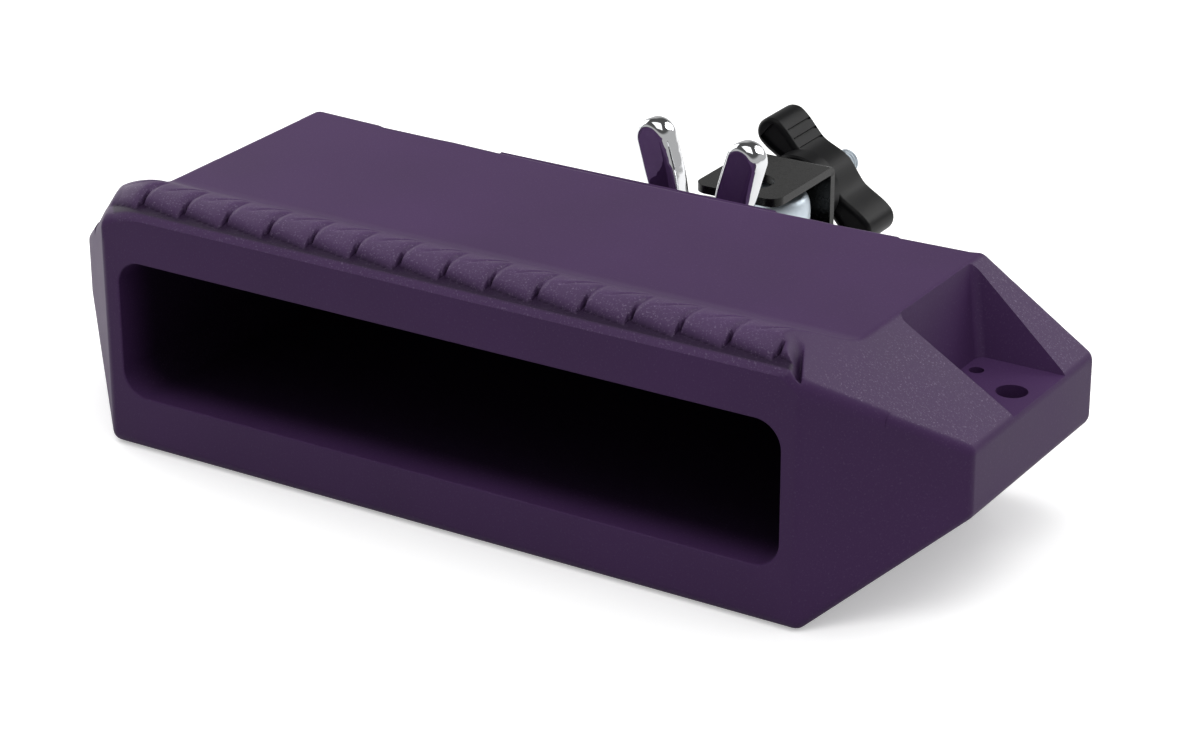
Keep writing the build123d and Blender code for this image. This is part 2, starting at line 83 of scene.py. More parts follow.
def linear(code):
    """Turn an sRGB hex colour into linear red, green, blue and an alpha of 1."""
    parts = [int(code[i : i + 2], 16) / 255 for i in (1, 3, 5)]
    return [c / 12.92 if c <= 0.04045 else ((c + 0.055) / 1.055) ** 2.4 for c in parts] + [1.0]


def add(tree, kind, settings=None, links=None):
    """Add a node; settings and links are keyed by input name or number, or by property name."""
    node = tree.nodes.new(kind)
    for key, value in (settings or {}).items():
        if isinstance(key, str) and hasattr(node, key):
            setattr(node, key, value)
        else:
            node.inputs[key].default_value = value
    for key, output in (links or {}).items():
        tree.links.new(output, node.inputs[key])
    return node


def empty_material(name):
    """A material with nodes switched on and none of them left."""
    material = bpy.data.materials.new(name)
    material.use_nodes = True
    material.node_tree.nodes.clear()
    return material, material.node_tree


def mesh_object(name, mesh):
    """Link a mesh into the scene as an object at the origin."""
    piece = bpy.data.objects.new(name, mesh)
    bpy.context.scene.collection.objects.link(piece)
    return piece


def shell(name, verts, faces):
    """An object made from its corners and faces."""
    mesh = bpy.data.meshes.new(name)
    mesh.from_pydata(verts, [], faces)
    return mesh_object(name, mesh)


def aim(direction, roll=0.0):
    """Rotation that points an object's +Z along a direction, with its +X level but for a roll."""
    back = direction.normalized()
    right = Vector((0, 0, 1)).cross(back).normalized()
    up = back.cross(right)
    right, up = cos(roll) * right + sin(roll) * up, cos(roll) * up - sin(roll) * right
    return Matrix((right, up, back)).transposed().to_4x4()


def paper_floor():
    """White studio paper: takes the shadow, and is lifted to white where it is seen."""
    material, tree = empty_material("studio_paper")
    glow = add(tree, "ShaderNodeEmission", {"Color": (1, 1, 1, 1)})
    path = add(tree, "ShaderNodeLightPath")
    seen = add(tree, "ShaderNodeMath", {"operation": "MAXIMUM"}, {
        0: path.outputs["Is Camera Ray"], 1: path.outputs["Is Glossy Ray"]})
    shade = add(tree, "ShaderNodeMix", {
        "data_type": "RGBA", 6: linear(FLOOR_BOUNCE), 7: linear(FLOOR_SEEN)}, {0: seen.outputs[0]})
    paper = add(tree, "ShaderNodeBsdfDiffuse", None, {"Color": shade.outputs[2]})
    lift = add(tree, "ShaderNodeMath", {"operation": "MULTIPLY", 1: FLOOR_LIFT}, {
        0: path.outputs["Is Camera Ray"]})
    lift = add(tree, "ShaderNodeMath", {"operation": "MULTIPLY_ADD", 1: FLOOR_MIRROR_LIFT}, {
        0: path.outputs["Is Glossy Ray"], 2: lift.outputs[0]})
    tree.links.new(lift.outputs[0], glow.inputs["Strength"])
    both = add(tree, "ShaderNodeAddShader", None, {0: paper.outputs[0], 1: glow.outputs[0]})
    add(tree, "ShaderNodeOutputMaterial", None, {"Surface": both.outputs[0]})
    corners = [
        (-FLOOR_HALF, -FLOOR_HALF, 0),
        (FLOOR_HALF, -FLOOR_HALF, 0),
        (FLOOR_HALF, FLOOR_HALF, 0),
        (-FLOOR_HALF, FLOOR_HALF, 0),
    ]
    floor = shell("floor", corners, [(0, 1, 2, 3)])
    floor.data.materials.append(material)


def lamp(name, place, target, size, power):
    """A square soft lamp."""
    light = bpy.data.lights.new(name, "AREA")
    light.shape = "SQUARE"
    light.size = size
    light.energy = power
    holder = bpy.data.objects.new(name, light)
    holder.matrix_world = Matrix.Translation(place) @ aim(Vector(place) - Vector(target))
    bpy.context.scene.collection.objects.link(holder)


def studio_camera():
    """The photograph's view: a lens of 20 degrees, a metre away."""
    back = Vector((
        sin(CAMERA_AZIMUTH) * cos(CAMERA_ELEVATION),
        -cos(CAMERA_AZIMUTH) * cos(CAMERA_ELEVATION),
        sin(CAMERA_ELEVATION),
    ))
    data = bpy.data.cameras.new("camera")
    data.sensor_width = CAMERA_SENSOR
    data.lens = CAMERA_LENS
    data.shift_x, data.shift_y = CAMERA_SHIFT
    camera = bpy.data.objects.new("camera", data)
    place = CAMERA_TARGET + CAMERA_DISTANCE * back
    camera.matrix_world = Matrix.Translation(place) @ aim(back, CAMERA_ROLL)
    bpy.context.scene.collection.objects.link(camera)
    bpy.context.scene.camera = camera


def studio_room():
    """The room: dim at eye level and bright overhead, and the reverse in shiny surfaces."""
    world = bpy.data.worlds.new("studio")
    bpy.context.scene.world = world
    world.use_nodes = True
    tree = world.node_tree
    tree.nodes.clear()
    way = add(tree, "ShaderNodeTexCoord").outputs["Generated"]
    height = add(tree, "ShaderNodeSeparateXYZ", None, {0: way}).outputs["Z"]
    light = add(tree, "ShaderNodeMapRange", {
        "From Max": ZENITH_FROM, "To Min": WORLD_HORIZON, "To Max": WORLD_ZENITH}, {0: height})
    mirrored = add(tree, "ShaderNodeMapRange", {
        "interpolation_type": "SMOOTHSTEP", "From Min": MIRROR_TURN[0], "From Max": MIRROR_TURN[1],
        "To Min": MIRROR_LOW, "To Max": MIRROR_HIGH}, {0: height})
    path = add(tree, "ShaderNodeLightPath").outputs["Is Glossy Ray"]
    shown = add(tree, "ShaderNodeMix", None, {
        0: path, 2: light.outputs[0], 3: mirrored.outputs[0]})
    sky = add(tree, "ShaderNodeBackground", {"Color": (1, 1, 1, 1)}, {
        "Strength": shown.outputs[0]})
    add(tree, "ShaderNodeOutputWorld", None, {"Surface": sky.outputs[0]})


paper_floor()
for lamp_name, lamp_settings in LAMPS.items():
    lamp(lamp_name, *lamp_settings)
studio_camera()
studio_room()
bpy.context.scene.view_settings.view_transform = "Standard"


# ------------------------------------------------------------ block moulding
# One thick-walled moulding in purple plastic. The mould was spark-eroded, so the
# skin has a fine sandy grain, and the rope pattern is cut into its striking edge.
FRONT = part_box("block_body")[0].y
FLAT_HALF = 110.0 * MM  # X of the front face's corners
CHAMFER_RUN = 0.988  # the corner chamfer goes back this much for each step outwards
CORNER_EASE = 0.5 * MM

# the striking edge rolls up from the front face to its crest, and falls to the panel
PANEL_Z = 69.2 * MM
SHOULDER_Z = 69.7 * MM  # top of the front face
CREST_Z = 76.8 * MM
CREST_BACK = 10.5 * MM
ROLL_POWER = 1.7  # a higher power makes the roll fuller
FLANK_BACK = 34.0 * MM  # the rope's soft back meets the panel here
ROPE_HALF = 126.0 * MM  # its round cheeks have died out on the ears here

# one strand: left runs from 0 at its right edge to 1 at its left point, lengths without
# MM are millimetres, and a pair is where a soft step starts and how long it is
STRAND_PITCH = 14.3 * MM
STRAND_TIP = -0.2 * MM  # X of a strand's tip near the middle
STRAND_LEAN = 0.008  # share of the pitch that it leans for each millimetre back
STRAND_DROP = 1.0 * MM  # the unit of the three falls below
STRAND_TILT = 0.55  # fall from its right edge to its left point
STRAND_TUCK = 0.55  # further fall where it dips under its neighbour
TUCK_STEP = (0.84, 0.16)
STRAND_EDGE = 1.1  # fall into the groove at its right edge
EDGE_RUN = 2.8 * MM
STRAND_FADE = (10.0, 8.0)  # the strands die out behind the crest
WALL_BACK = 3.0  # its front wall's place behind the front face
WALL_SKEW = 2.2  # and how much further back its left end is
POINT_BACK = 2.5  # the left point is drawn back by this
POINT_STEP = (0.9, 0.1)
WALL_RUN = 1.8
CREASE_DEPTH = 0.4 * MM  # curved crease behind each strand
CREASE_BACK = 10.0
CREASE_SWEEP = 9.5
CREASE_SHARE = 0.6  # the sweep ends at this much of the strand
CREASE_POWER = 1.3
CREASE_WIDTH = 0.7
CREASE_FADE = (0.8, -0.3)
CREASE_FROM = 6.0
LEDGE_Z = 71.5 * MM  # the strands stand on a ledge over the front face's bevel
LEDGE_BACK = 1.7 * MM
LEDGE_SLOPE = 0.25
LEDGE_BAND = (1.2, 0.8)  # the bevel ends and the ledge's painted shade starts

# the ears' sloping tops, the left cheek and the notch at the right end of the rope
EAR_SLOPE = 0.7034  # fall of the ears' tops
EDGE_EASE = 3.5 * MM
SEAM_EASE = 0.5 * MM
CHEEK_RISE = 6.6 * MM  # the left cheek stands this much above the ear's slope
CHEEK_EASE = 6.0 * MM
CHEEK_ROLL = 11.0 * MM
CHEEK_BACK = (13.0 * MM, 18.0 * MM)
CHEEK_OUT = (110.0 * MM, 16.0 * MM)
NOTCH_DEPTH = 2.4 * MM
NOTCH_X = 105.2  # its steep side, NOTCH_BACK behind the front face
NOTCH_BACK = 9.7
NOTCH_LEAN = 0.5
NOTCH_SOFT = 2.0  # width of the side towards the rope
NOTCH_STEEP = 0.3  # and of the side towards the ear
NOTCH_FRONT = (0.9, 1.6)
NOTCH_REAR = (6.0, 8.0)

# the rope's solid and the room that is cleared for it
STEP = 0.4 * MM  # between its columns of points
ROWS = 76
ROW_CROWDING = 0.35  # how much closer the rows lie near the front
RIM_DROP = 0.2 * MM
FLOOR_BELOW = 4.5 * MM  # under the panel, above the chamber
FLOOR_TURN = 4.0 * MM  # inside the corners, where it starts to follow the ears
FLOOR_OVERLAP = 1.0 * MM
SIDE_OVERLAP = 0.5 * MM
ROOM_BACK = FLANK_BACK + 1.0 * MM
ROOM_SPARE = 5.0 * MM
SKIN_TOLERANCE = 0.02 * MM

# the chamber, whose walls get painted shade that deepens behind the mouth
CHAMBER_HALF = 105.0 * MM
CHAMBER_Z = (16.4 * MM, 56.8 * MM)
CHAMBER_DEEP = 88.0 * MM
CHAMBER_SLACK = 0.05 * MM
PAINTED_SHADE_FROM = FRONT + 0.5 * MM
PAINTED_SHADE_TO = FRONT + 16.0 * MM
LIP_ROUND = 0.6 * MM
LIP_FOLD = 1.0  # radians: the mouth's edge is sharper than this
LIP_TOLERANCE = 0.01 * MM
MOUTH_SLACK = 0.1 * MM

# what the plastic shows where, with painted shade in the chamber and the rope's hollows
PURPLE = "#432A52"
# painted shade in the rope's hollows, grooves and notch, at this share of full
HOLLOW_SHADE = 0.75
GROOVE_SHADE = 0.25  # painted shade in the grooves between strands, as a share of the ledge's
STRAND_GRAIN = 0.7  # the strands are sandier than the bevel
BEVEL_GRAIN = 0.45
EAR_TOP_TILT = 0.818  # Z of the ears' tops' normals
TILT_TOLERANCE = 0.08
EAR_GRAIN = 0.8
EAR_GRAIN_X = (FLAT_HALF - 8.0 * MM, FLAT_HALF + 12.0 * MM)
CLOUD_SIZE = 45.45 * MM  # slow drift of tone over the moulding
CLOUD_TONE = 0.08
SPECK_NOISE = (0.55, 0.72)  # the grain's noise between these turns into a pale speck
SPECK_GAIN = 5.0  # extra specks where the skin is sandy
STRAND_PALE = 0.16
GRAIN_BUMP = 0.5
MARKED_BUMP = (0.1, 0.45)  # gain and base of the bump, more where shade is painted or the skin is sandy
ROUGH_DRIFT = (-0.06, 0.08)
PAINTED_SHADE_TINT = 0.2  # share of the colour left where shade is painted
PALE_TINT = (1.5, 0.12)  # gain and lift of the colour in specks and on the strands
WELD_CAD = 0.002 * MM


def ramp(value, start, run):
    """Smooth step from 0 at start to 1 at start + run; run may be negative."""
    t = np.clip((value - start) / run, 0, 1)
    return t * t * (3 - 2 * t)


def quarter(t):
    """Quarter round: steep at 0, level from 1."""
    t = np.clip(t, 0, 1)
    return np.sqrt(1 - (1 - t) ** 2)


def smooth_low(a, b, width):
    """The lower of two heights, rounded where they meet."""
    mix = np.clip(0.5 + 0.5 * (b - a) / width, 0, 1)
    return b * (1 - mix) + a * mix - width * mix * (1 - mix)


def rim_back(x):
    """How far behind the front face the moulding starts: more along the corner chamfers."""
    past = (np.abs(x) - FLAT_HALF) * CHAMFER_RUN
    eased = (past + CORNER_EASE) ** 2 / (4 * CORNER_EASE)
    return np.where(np.abs(past) < CORNER_EASE, eased, np.maximum(past, 0))


def strand_form(x, back, full):
    """Height of the strands on their ledge, the painted shade of each hollow place, and how grainy
    each place is.
    """
    behind = back / MM
    left = ((STRAND_TIP - x) / STRAND_PITCH + STRAND_LEAN * behind) % 1.0
    wall_back = WALL_BACK + WALL_SKEW * left + POINT_BACK * ramp(left, *POINT_STEP)
    wall = quarter((behind - wall_back) / WALL_RUN)
    side = quarter(left * STRAND_PITCH / EDGE_RUN)
    fade = 1 - ramp(behind, *STRAND_FADE)
    lean = STRAND_TILT * left + STRAND_TUCK * ramp(left, *TUCK_STEP) + STRAND_EDGE * (1 - side)
    swept = CREASE_BACK + CREASE_SWEEP * np.clip(1 - left / CREASE_SHARE, 0, 1) ** CREASE_POWER
    crease = CREASE_DEPTH * np.exp(-(((behind - swept) / CREASE_WIDTH) ** 2))
    crease = crease * ramp(left, *CREASE_FADE) * (behind > CREASE_FROM)
    strand = full - (STRAND_DROP * lean * fade + crease)
    ledge = np.minimum(full, LEDGE_Z + LEDGE_SLOPE * (back - LEDGE_BACK))
    height = ledge + np.maximum(strand - ledge, 0) * wall

    bevel = 1 - ramp(behind, *LEDGE_BAND)
    painted_hollow_shade = (1 - bevel) * (1 - wall) + GROOVE_SHADE * (1 - side) * fade * wall
    grainy = STRAND_GRAIN * wall * fade + BEVEL_GRAIN * bevel * (1 - wall)
    return height, painted_hollow_shade, grainy


def ear_form(x, back, edge):
    """Height of the ears' sloping tops, and how much of the left cheek is added to them."""
    out = np.abs(x)
    cheek = (1 - ramp(back, *CHEEK_BACK)) * (1 - ramp(out, *CHEEK_OUT)) * (x < 0)
    top = PANEL_Z + EAR_SLOPE * (FLAT_HALF - out) + CHEEK_RISE * cheek * ramp(edge, 0, CHEEK_ROLL)
    return top - EDGE_EASE * (1 - quarter(edge / EDGE_EASE)), cheek


def notch_form(x, behind):
    """Depth of the notch as a share of its full depth, and where the rope lies beside it."""
    notch_x = (NOTCH_X + (NOTCH_BACK - behind) * NOTCH_LEAN) * MM
    beside = (notch_x - np.abs(x)) / MM
    width = np.where(beside > 0, NOTCH_SOFT, NOTCH_STEEP)
    notch = np.exp(-((beside / width) ** 2)) * (x > 0)
    notch = notch * ramp(behind, *NOTCH_FRONT) * (1 - ramp(behind, *NOTCH_REAR))
    return notch, (beside > 0) | (x < 0)


def rope_height(x, back):
    """Height of the striking edge over X and the distance behind the front face.

    Also gives the painted shade, from how deep in a hollow or the notch each place lies, and where
    the skin is grainy.
    """
    edge = np.clip(back - rim_back(x), 0, None)
    roll = 1 - (1 - np.clip(edge / CREST_BACK, 0, 1)) ** ROLL_POWER
    fall = ramp(back, CREST_BACK, FLANK_BACK - CREST_BACK)
    full = SHOULDER_Z + (CREST_Z - SHOULDER_Z) * roll - (CREST_Z - PANEL_Z) * fall
    height, painted_hollow_shade, grainy = strand_form(x, back, full)
    ear_top, cheek = ear_form(x, back, edge)
    notch, rope_side = notch_form(x, back / MM)
    on_rope = (height < ear_top) * rope_side
    height = smooth_low(height, ear_top, SEAM_EASE + CHEEK_EASE * cheek)
    return height - NOTCH_DEPTH * notch, np.clip(on_rope * painted_hollow_shade + notch, 0, 1), on_rope * grainy


def merged_copy(node, name):
    """A CAD node's mesh with its loose triangles joined up."""
    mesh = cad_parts[node].data.copy()
    mesh.name = name
    shape = bmesh.new()
    shape.from_mesh(mesh)
    bmesh.ops.remove_doubles(shape, verts=shape.verts, dist=WELD_CAD)
    shape.to_mesh(mesh)
    shape.free()
    mesh.materials.clear()
    for layer in ("custom_normal", "sharp_edge", "sharp_face"):
        if layer in mesh.attributes:
            mesh.attributes.remove(mesh.attributes[layer])
    return mesh_object(name, mesh)


def at_mouth(point):
    """Whether a point of the front face lies within the mouth or on its edge."""
    low, high = CHAMBER_Z
    return (
        abs(point.y - FRONT) < LIP_TOLERANCE
        and abs(point.x) < CHAMBER_HALF + MOUTH_SLACK
        and low - MOUTH_SLACK < point.z < high + MOUTH_SLACK
    )


def mouth_lip(piece):
    """A small radius round the mouth's edge, which catches the light."""
    shape = bmesh.new()
    shape.from_mesh(piece.data)
    lip = [
        e for e in shape.edges
        if len(e.link_faces) == 2
        and all(at_mouth(v.co) for v in e.verts)
        and e.calc_face_angle() > LIP_FOLD
    ]
    bmesh.ops.bevel(shape, geom=lip, offset=LIP_ROUND, segments=3, profile=0.5, affect="EDGES")
    shape.to_mesh(piece.data)
    shape.free()


def settle(piece):
    """Turn a piece's modifiers into plain mesh."""
    done = bpy.context.evaluated_depsgraph_get()
    mesh = bpy.data.meshes.new_from_object(piece.evaluated_get(done))
    piece.modifiers.clear()
    old = piece.data
    piece.data = mesh
    bpy.data.meshes.remove(old)


def cut(piece, tool, operation="DIFFERENCE", solver="EXACT"):
    """Apply a boolean with a tool, which is then thrown away."""
    modifier = piece.modifiers.new("cut", "BOOLEAN")
    modifier.operation = operation
    modifier.solver = solver
    modifier.object = tool
    settle(piece)
    bpy.data.objects.remove(tool)


def rope_floor(x):
    """Underside of the rope's solid: below the skin, above the chamber."""
    past = np.clip(np.abs(x) - FLAT_HALF + FLOOR_TURN, 0, None)
    return PANEL_Z - FLOOR_BELOW - EAR_SLOPE * past


def rope_solid():
    """Closed solid under the swept and patterned striking edge."""
    half = ROPE_HALF + SIDE_OVERLAP
    columns = np.linspace(-half, half, int(2 * half / STEP) + 1)
    share = np.linspace(0, 1, ROWS)
    share = ROW_CROWDING * share**2 + (1 - ROW_CROWDING) * share
    x = np.repeat(columns[:, None], ROWS, 1)
    start = rim_back(x)
    back = start + share * (ROOM_BACK + SIDE_OVERLAP - start)
    z = rope_height(x, back)[0]
    top = np.stack([x, FRONT + back, z], -1).reshape(-1, 3)
    faces = [
        (corner, corner + ROWS, corner + ROWS + 1, corner + 1)
        for column in range(len(columns) - 1)
        for corner in range(column * ROWS, (column + 1) * ROWS - 1)
    ]
    piece = shell("rope", top.tolist(), faces)
    shape = bmesh.new()
    shape.from_mesh(piece.data)
    for drop in (RIM_DROP, None):
        rim = [e for e in shape.edges if e.is_boundary]
        for part in bmesh.ops.extrude_edge_only(shape, edges=rim)["geom"]:
            if isinstance(part, bmesh.types.BMVert):
                part.co.z = part.co.z - drop if drop else float(rope_floor(part.co.x))
    lower = [e for e in shape.edges if e.is_boundary]
    bmesh.ops.triangle_fill(shape, edges=lower, use_beauty=True)
    bmesh.ops.recalc_face_normals(shape, faces=shape.faces)
    shape.to_mesh(piece.data)
    shape.free()
    return piece


def rope_room():
    """What is cleared from the plain moulding, for the rope's solid to fill."""
    turn = FLAT_HALF - FLOOR_TURN
    low = [(x, float(rope_floor(x)) + FLOOR_OVERLAP) for x in (-ROPE_HALF, -turn, turn, ROPE_HALF)]
    outline = low + [(ROPE_HALF, CREST_Z + ROOM_SPARE), (-ROPE_HALF, CREST_Z + ROOM_SPARE)]
    count = len(outline)
    verts = [(x, y, z) for y in (FRONT - ROOM_SPARE, FRONT + ROOM_BACK) for x, z in outline]
    faces = [tuple(range(count)), tuple(reversed(range(count, 2 * count)))]
    faces += [(i, i + count, (i + 1) % count + count, (i + 1) % count) for i in range(count)]
    return outwards(shell("rope_room", verts, faces))


def outwards(piece, weld=0.001 * MM):
    """Make every face of a closed shell point outwards."""
    shape = bmesh.new()
    shape.from_mesh(piece.data)
    bmesh.ops.remove_doubles(shape, verts=shape.verts, dist=weld)
    bmesh.ops.recalc_face_normals(shape, faces=shape.faces)
    shape.to_mesh(piece.data)
    shape.free()
    return piece


def mark_rope(piece):
    """Store on each point of the rope's skin its painted shade, from how hollow it is, and how
    grainy it is.
    """
    mesh = piece.data
    points = np.empty(len(mesh.vertices) * 3, np.float32)
    mesh.vertices.foreach_get("co", points)
    x, y, z = points.reshape(-1, 3).T.astype(float)
    back = y - FRONT
    height, painted_hollow_shade, grainy = rope_height(x, back)
    skin = (np.abs(z - height) < SKIN_TOLERANCE) & (back < FLANK_BACK) & (np.abs(x) < ROPE_HALF)
    for name, values in (("painted_hollow_shade", painted_hollow_shade), ("strand", grainy)):
        layer = mesh.attributes.new(name, "FLOAT", "POINT")
        layer.data.foreach_set("value", (values * skin).astype(np.float32))


def tinted(code, gain, lift=0.0):
    """A hex colour made lighter or darker, as a linear colour."""
    return [gain * c + lift for c in linear(code)[:3]] + [1.0]


def moulded_plastic(name, code, grain_mm, rough, depth, gloss=0.16, specks=0.0, shade_and_grain=None):
    """Moulded plastic: satin, with a sandy grain that breaks up the highlights.

    A spark-eroded skin's grain is about a tenth of a millimetre. It is drawn at
    grain_mm, coarse enough to show. The function given as its last argument may
    give three more outputs: how much painted shade, how pale and how sandy a place is.
    """
    material, tree = empty_material(name)
    place = add(tree, "ShaderNodeTexCoord").outputs["Object"]
    sand = add(tree, "ShaderNodeTexNoise", {
        "Scale": 1 / (grain_mm * MM), "Detail": 3.0, "Roughness": 0.65}, {"Vector": place})
    cloud = add(tree, "ShaderNodeTexNoise", {
        "Scale": 1 / CLOUD_SIZE, "Detail": 2.0}, {"Vector": place})
    tone = add(tree, "ShaderNodeValToRGB", None, {"Fac": cloud.outputs["Fac"]})
    dull, bright = tone.color_ramp.elements
    dull.position, bright.position = 0.3, 0.7
    dull.color = tinted(code, 1 - CLOUD_TONE)
    bright.color = tinted(code, 1 + CLOUD_TONE)
    speck = add(tree, "ShaderNodeMapRange", {
        "interpolation_type": "SMOOTHSTEP", "From Min": SPECK_NOISE[0],
        "From Max": SPECK_NOISE[1]}, {0: sand.outputs["Fac"]})
    amount = add(tree, "ShaderNodeMath", {"operation": "MULTIPLY", 1: specks}, {
        0: speck.outputs[0]})
    bump = add(tree, "ShaderNodeBump", {"Strength": GRAIN_BUMP, "Distance": depth * MM}, {
        "Height": sand.outputs["Fac"]})
    body = tone.outputs[0]
    if shade_and_grain:
        dark, light, sandy = shade_and_grain(tree, place)
        more = add(tree, "ShaderNodeMath", {
            "operation": "MULTIPLY_ADD", 1: SPECK_GAIN, 2: 1.0}, {0: sandy})
        amount = add(tree, "ShaderNodeMath", {"operation": "MULTIPLY"}, {
            0: amount.outputs[0], 1: more.outputs[0]})
        amount = add(tree, "ShaderNodeMath", {"operation": "MULTIPLY_ADD", 1: STRAND_PALE}, {
            0: light, 2: amount.outputs[0]})
        rougher = add(tree, "ShaderNodeMath", {"operation": "MAXIMUM"}, {0: sandy, 1: dark})
        deeper = add(tree, "ShaderNodeMath", {
            "operation": "MULTIPLY_ADD", 1: MARKED_BUMP[0], 2: MARKED_BUMP[1]}, {
            0: rougher.outputs[0]})
        tree.links.new(deeper.outputs[0], bump.inputs["Strength"])
        # painted shade: the colour darkens towards a deep purple where shade is painted
        body = add(tree, "ShaderNodeMix", {"data_type": "RGBA", 7: tinted(code, PAINTED_SHADE_TINT)}, {
            0: dark, 6: body}).outputs[2]
    colour = add(tree, "ShaderNodeMix", {"data_type": "RGBA", 7: tinted(code, *PALE_TINT)}, {
        0: amount.outputs[0], 6: body})
    uneven = add(tree, "ShaderNodeMapRange", {
        "To Min": rough + ROUGH_DRIFT[0], "To Max": rough + ROUGH_DRIFT[1]}, {
        0: cloud.outputs["Fac"]})
    shader = add(tree, "ShaderNodeBsdfPrincipled", {"IOR": 1.5, "Specular IOR Level": gloss}, {
        "Base Color": colour.outputs[2], "Roughness": uneven.outputs[0],
        "Normal": bump.outputs[0]})
    add(tree, "ShaderNodeOutputMaterial", None, {"Surface": shader.outputs[0]})
    return material


def painted_shade_and_grain(tree, place):
    """Painted shade on the chamber walls and in the rope's hollows, paler strands, and sandy
    strands and ear tops.
    """
    split = add(tree, "ShaderNodeSeparateXYZ", None, {0: place}).outputs
    # painted shade: the chamber's walls darken from the mouth inwards, inside the chamber's box
    dark = add(tree, "ShaderNodeMapRange", {
        "interpolation_type": "SMOOTHSTEP", "From Min": PAINTED_SHADE_FROM, "From Max": PAINTED_SHADE_TO}, {
        0: split["Y"]})
    low, high = CHAMBER_Z
    limits = {
        "X": (0.0, CHAMBER_HALF),
        "Y": (FRONT + CHAMBER_DEEP / 2, CHAMBER_DEEP / 2),
        "Z": ((low + high) / 2, (high - low) / 2),
    }
    for axis, (middle, half) in limits.items():
        inside = add(tree, "ShaderNodeMath", {
            "operation": "COMPARE", 1: middle, 2: half + CHAMBER_SLACK}, {0: split[axis]})
        dark = add(tree, "ShaderNodeMath", {"operation": "MULTIPLY"}, {
            0: dark.outputs[0], 1: inside.outputs[0]})
    # painted shade in the rope's hollows, grooves and notch, stored on the mesh
    painted_hollow_shade = add(tree, "ShaderNodeAttribute", {"attribute_name": "painted_hollow_shade"})
    painted_hollow_shade = add(tree, "ShaderNodeMath", {"operation": "MULTIPLY", 1: HOLLOW_SHADE}, {
        0: painted_hollow_shade.outputs["Fac"]})
    dark = add(tree, "ShaderNodeMath", {"operation": "MAXIMUM"}, {
        0: dark.outputs[0], 1: painted_hollow_shade.outputs[0]})
    strand = add(tree, "ShaderNodeAttribute", {"attribute_name": "strand"}).outputs["Fac"]
    normal = add(tree, "ShaderNodeTexCoord").outputs["Normal"]
    tilt = add(tree, "ShaderNodeSeparateXYZ", None, {0: normal}).outputs["Z"]
    slope = add(tree, "ShaderNodeMath", {
        "operation": "COMPARE", 1: EAR_TOP_TILT, 2: TILT_TOLERANCE}, {0: tilt})
    outer = add(tree, "ShaderNodeMath", {"operation": "ABSOLUTE"}, {0: split["X"]})
    outer = add(tree, "ShaderNodeMapRange", {
        "interpolation_type": "SMOOTHSTEP", "From Min": EAR_GRAIN_X[0],
        "From Max": EAR_GRAIN_X[1], "To Max": EAR_GRAIN}, {0: outer.outputs[0]})
    ears = add(tree, "ShaderNodeMath", {"operation": "MULTIPLY"}, {
        0: slope.outputs[0], 1: outer.outputs[0]})
    sandy = add(tree, "ShaderNodeMath", {"operation": "MAXIMUM"}, {0: strand, 1: ears.outputs[0]})
    return dark.outputs[0], strand, sandy.outputs[0]


def finish_mesh(piece, material, sharp=28.0):
    """Give a piece its finish and smooth its rounds, with flat faces kept flat."""
    mesh = piece.data
    mesh.materials.clear()
    mesh.materials.append(material)
    mesh.polygons.foreach_set("use_smooth", [True] * len(mesh.polygons))
    mesh.set_sharp_from_angle(angle=radians(sharp))
    weigh = piece.modifiers.new("weigh", "WEIGHTED_NORMAL")
    weigh.keep_sharp = True
    weigh.weight = 80
    settle(piece)


block = merged_copy("block_body", "block_moulding")
mouth_lip(block)
cut(block, rope_room())
cut(block, rope_solid(), "UNION")
purple_abs = moulded_plastic(
    "spark_eroded_purple_abs", PURPLE, grain_mm=0.55, rough=0.50, depth=0.05,
    gloss=0.16, specks=0.14, shade_and_grain=painted_shade_and_grain)
finish_mesh(block, purple_abs)
mark_rope(block)
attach(block, "block")
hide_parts("block_body")


# ------------------------------------------------------------ clamp bracket
# A strip of steel bent into a channel and powder coated in a soft gloss black. The
# fibre pad under the lug lets it swivel without marking the plastic.
BRACKET_EASE = 0.35 * MM
BRACKET_FOLD = radians(50)  # only edges sharper than this are eased
PEEL_SIZE = 1.43 * MM  # orange peel of the coating


def coated_steel(name, code):
    """Powder coat: black, with a faint orange peel in its reflections."""
    material, tree = empty_material(name)
    place = add(tree, "ShaderNodeTexCoord").outputs["Object"]
    peel = add(tree, "ShaderNodeTexNoise", {"Scale": 1 / PEEL_SIZE, "Detail": 2.0}, {
        "Vector": place})
    bump = add(tree, "ShaderNodeBump", {"Strength": 0.1, "Distance": 0.012 * MM}, {
        "Height": peel.outputs["Fac"]})
    uneven = add(tree, "ShaderNodeMapRange", {"To Min": 0.2, "To Max": 0.32}, {
        0: peel.outputs["Fac"]})
    shader = add(tree, "ShaderNodeBsdfPrincipled", {
        "Base Color": linear(code), "IOR": 1.5, "Specular IOR Level": 0.22}, {
        "Roughness": uneven.outputs[0], "Normal": bump.outputs[0]})
    add(tree, "ShaderNodeOutputMaterial", None, {"Surface": shader.outputs[0]})
    return material


def give_finish(nodes, material):
    """Give a material to CAD nodes that are shown as they are."""
    for node in nodes:
        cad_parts[node].data.materials.clear()
        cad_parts[node].data.materials.append(material)


bracket = merged_copy("bracket", "bent_bracket")
soften = bracket.modifiers.new("edges", "BEVEL")
soften.width = BRACKET_EASE
soften.segments = 2
soften.limit_method = "ANGLE"
soften.angle_limit = BRACKET_FOLD
settle(bracket)
finish_mesh(bracket, coated_steel("gloss_black_powder_coat", "#0B0B0A"))
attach(bracket, "clamp_bracket")
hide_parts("bracket")

fibre = moulded_plastic("pressed_fibre", "#2A2622", grain_mm=0.5, rough=0.8, depth=0.08)
give_finish(["swivel_pad"], fibre)


